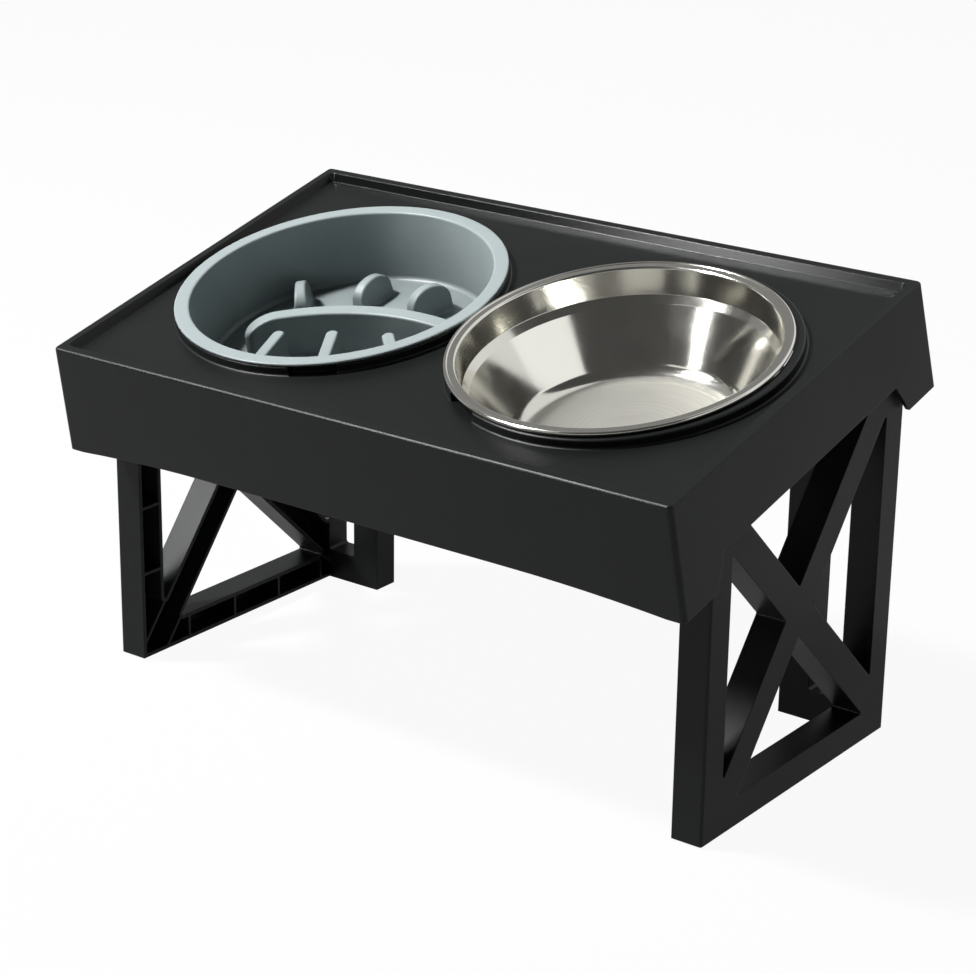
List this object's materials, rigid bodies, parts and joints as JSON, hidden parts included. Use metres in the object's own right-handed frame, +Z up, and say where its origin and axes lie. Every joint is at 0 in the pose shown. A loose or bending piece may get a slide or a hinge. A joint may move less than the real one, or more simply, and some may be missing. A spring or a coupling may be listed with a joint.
{
  "type": "raised dog feeder stand",
  "caption": "Raised pet feeding stand: a tilted tray on open braced side legs that plug in, holding a lift-out slow feeder bowl and a lift-out steel bowl.",
  "frame": {"origin": "middle of the object's plan, on the floor that the foot pads stand on", "axes": "+X to the right seen from the low front edge, +Y to the high back edge, +Z up"},
  "size_m": [0.436, 0.2702, 0.2703],
  "materials": {
    "tray_plastic": "satin black moulded plastic",
    "leg_plastic": "satin black moulded plastic",
    "feeder_plastic": "smooth pale grey-blue moulded plastic",
    "bowl_steel": "polished, with fine turning marks on the floor",
    "foot_rubber": "matt black rubber"
  },
  "bodies": {
    "tray_body": {"tray": "tray_plastic"},
    "left_leg_body": {"left_leg": "leg_plastic", "left_front_foot_pad": "foot_rubber", "left_rear_foot_pad": "foot_rubber", "left_wing_foot_pad": "foot_rubber"},
    "right_leg_body": {"right_leg": "leg_plastic", "right_front_foot_pad": "foot_rubber", "right_rear_foot_pad": "foot_rubber", "right_wing_foot_pad": "foot_rubber"},
    "feeder_bowl_body": {"slow_feeder_bowl": "feeder_plastic"},
    "steel_bowl_body": {"steel_bowl": "bowl_steel"}
  },
  "joints": [
    {"name": "feeder_bowl_lift", "type": "slide", "parent": "tray_body", "child": "feeder_bowl_body", "axis": [0, -0.2419, 0.9703], "range_m": [0, 0.09]},
    {"name": "steel_bowl_lift", "type": "slide", "parent": "tray_body", "child": "steel_bowl_body", "axis": [0, -0.2419, 0.9703], "range_m": [0, 0.09]},
    {"name": "left_leg_pull", "type": "slide", "parent": "tray_body", "child": "left_leg_body", "axis": [0, 0.2419, -0.9703], "range_m": [0, 0.06]},
    {"name": "right_leg_pull", "type": "slide", "parent": "tray_body", "child": "right_leg_body", "axis": [0, 0.2419, -0.9703], "range_m": [0, 0.06]}
  ]
}
